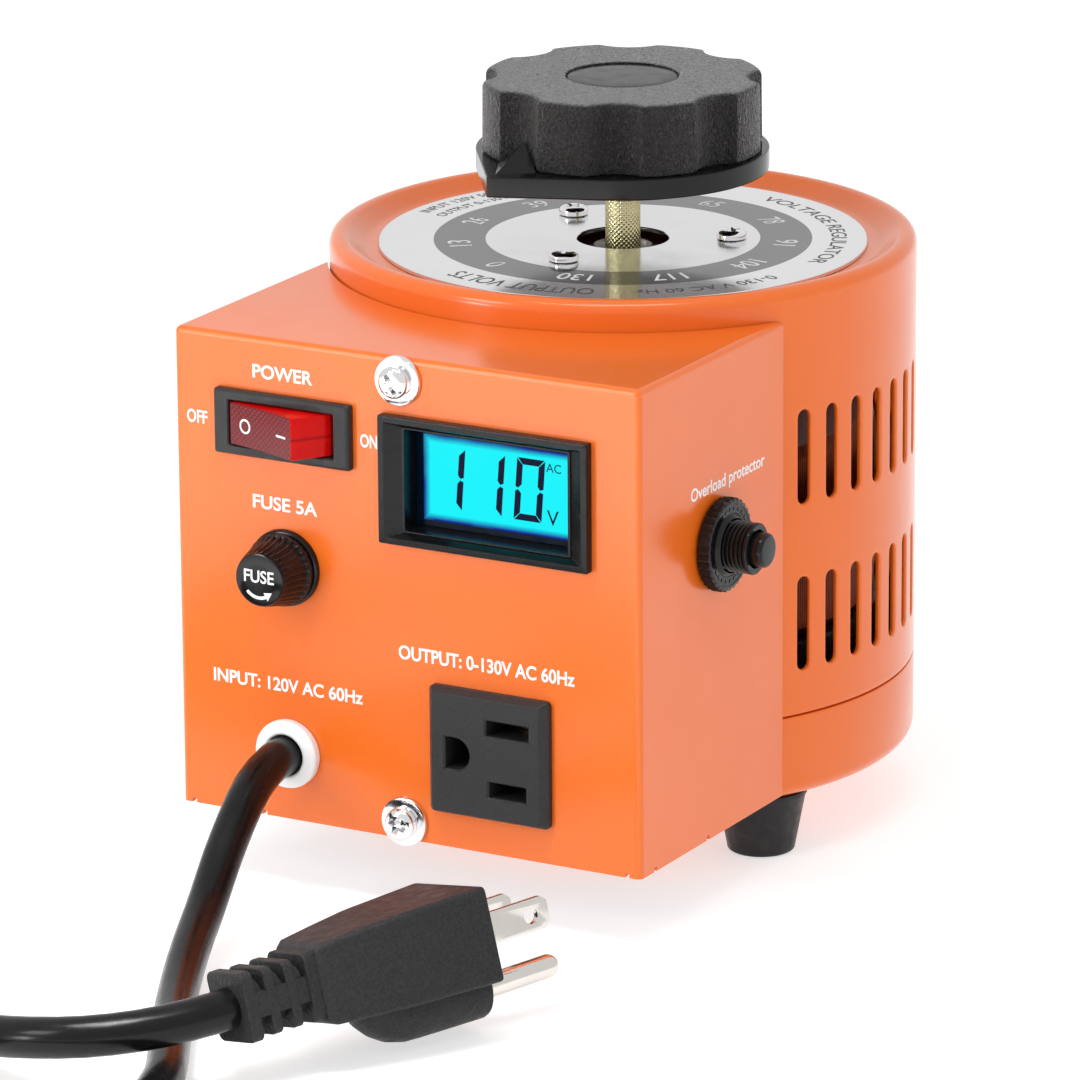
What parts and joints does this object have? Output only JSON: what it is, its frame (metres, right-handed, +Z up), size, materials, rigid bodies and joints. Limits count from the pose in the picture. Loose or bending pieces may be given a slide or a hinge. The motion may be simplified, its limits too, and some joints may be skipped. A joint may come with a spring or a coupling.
{
  "type": "variac autotransformer",
  "caption": "Bench variable autotransformer: slotted drum with a dial knob on top, control box in front with switch, meter, fuse, outlet and a mains lead.",
  "frame": {"origin": "centre of the footprint of the standing object, on the floor under its rubber feet, the loose mains lead left out", "axes": "+Z up along the knob shaft, -Y out of the control panel, +X towards the side with the overload button"},
  "size_m": [0.2021, 0.3518, 0.1534],
  "materials": {
    "orange_paint": "gloss powder coat",
    "dial_aluminium": "satin anodised",
    "bright_steel": "bright plated",
    "yellow_zinc": "knurled, yellow zinc",
    "black_plastic": "fine grain",
    "gloss_black": "smooth",
    "foot_rubber": "matt",
    "copper_wire": "varnished enamelled wire",
    "core_steel": "wound strip",
    "cast_hub": "as cast",
    "phenolic": "moulded",
    "brass": "turned",
    "carbon": "graphite",
    "red_rocker": "translucent",
    "meter_lcd": "backlit",
    "fuse_glass": "clear",
    "white_plastic": "satin",
    "cord_rubber": "gloss jacket",
    "nickel": "nickel plate"
  },
  "bodies": {
    "case": {"base_pan": "orange_paint", "bearing_flange": "phenolic", "box_floor": "bright_steel", "breaker_body": "black_plastic", "breaker_nut": "black_plastic", "clamp_hub": "cast_hub", "coil_seat": "black_plastic", "contact_ground": "brass", "contact_line": "brass", "contact_neutral": "brass", "cord_coil": "cord_rubber", "cord_grommet": "white_plastic", "cord_lead": "cord_rubber", "cord_tail": "cord_rubber", "dial_plate": "dial_aluminium", "dial_screw_1": "bright_steel", "dial_screw_2": "bright_steel", "dial_screw_3": "bright_steel", "drum_shell": "orange_paint", "foot_back": "foot_rubber", "foot_left": "foot_rubber", "foot_right": "foot_rubber", "front_box": "orange_paint", "front_screw_low": "bright_steel", "front_screw_top": "bright_steel", "front_washer_low": "bright_steel", "front_washer_top": "bright_steel", "fuse_body": "black_plastic", "fuse_nut": "black_plastic", "low_bushing": "brass", "meter_bezel": "black_plastic", "meter_display": "meter_lcd", "outlet": "black_plastic", "plug_blade_line": "nickel", "plug_blade_neutral": "nickel", "plug_body": "cord_rubber", "plug_ground_pin": "nickel", "slip_ring": "brass", "stop_post": "bright_steel", "switch_housing": "black_plastic", "top_bracket": "bright_steel", "top_bushing": "brass", "toroid_core": "core_steel", "winding": "copper_wire"},
    "knob": {"shaft": "yellow_zinc", "brush_arm": "dial_aluminium", "brush_holder": "brass", "carbon_brush": "carbon", "knob_body": "black_plastic", "knob_skirt": "gloss_black", "knob_cap": "gloss_black", "knob_grub_screw": "bright_steel"},
    "rocker": {"switch_rocker": "red_rocker"},
    "reset_button": {"breaker_button": "black_plastic"},
    "fuse": {"fuse_cap_front": "bright_steel", "fuse_tube": "fuse_glass", "fuse_cap_rear": "bright_steel"},
    "fuse_cap": {"fuse_cap": "black_plastic"}
  },
  "joints": [
    {"name": "knob_turn", "type": "hinge", "parent": "case", "child": "knob", "pos_m": [-0.0018, 0.0201, 0.119], "axis": [0, 0, -1], "range_deg": [0, 327]},
    {"name": "rocker_tip", "type": "hinge", "parent": "case", "child": "rocker", "pos_m": [-0.029, -0.0659, 0.097], "axis": [0, 0, 1], "range_deg": [0, 35]},
    {"name": "reset_press", "type": "slide", "parent": "case", "child": "reset_button", "axis": [-1, 0, 0], "range_m": [0, 0.0025], "stiffness_N_per_m": 300},
    {"name": "fuse_draw", "type": "slide", "parent": "case", "child": "fuse", "axis": [0, -1, 0], "range_m": [0, 0.03]},
    {"name": "fuse_cap_turn", "type": "hinge", "parent": "fuse", "child": "fuse_cap", "pos_m": [-0.0294, -0.0699, 0.068], "axis": [0, -1, 0], "range_deg": [0, 90]}
  ]
}
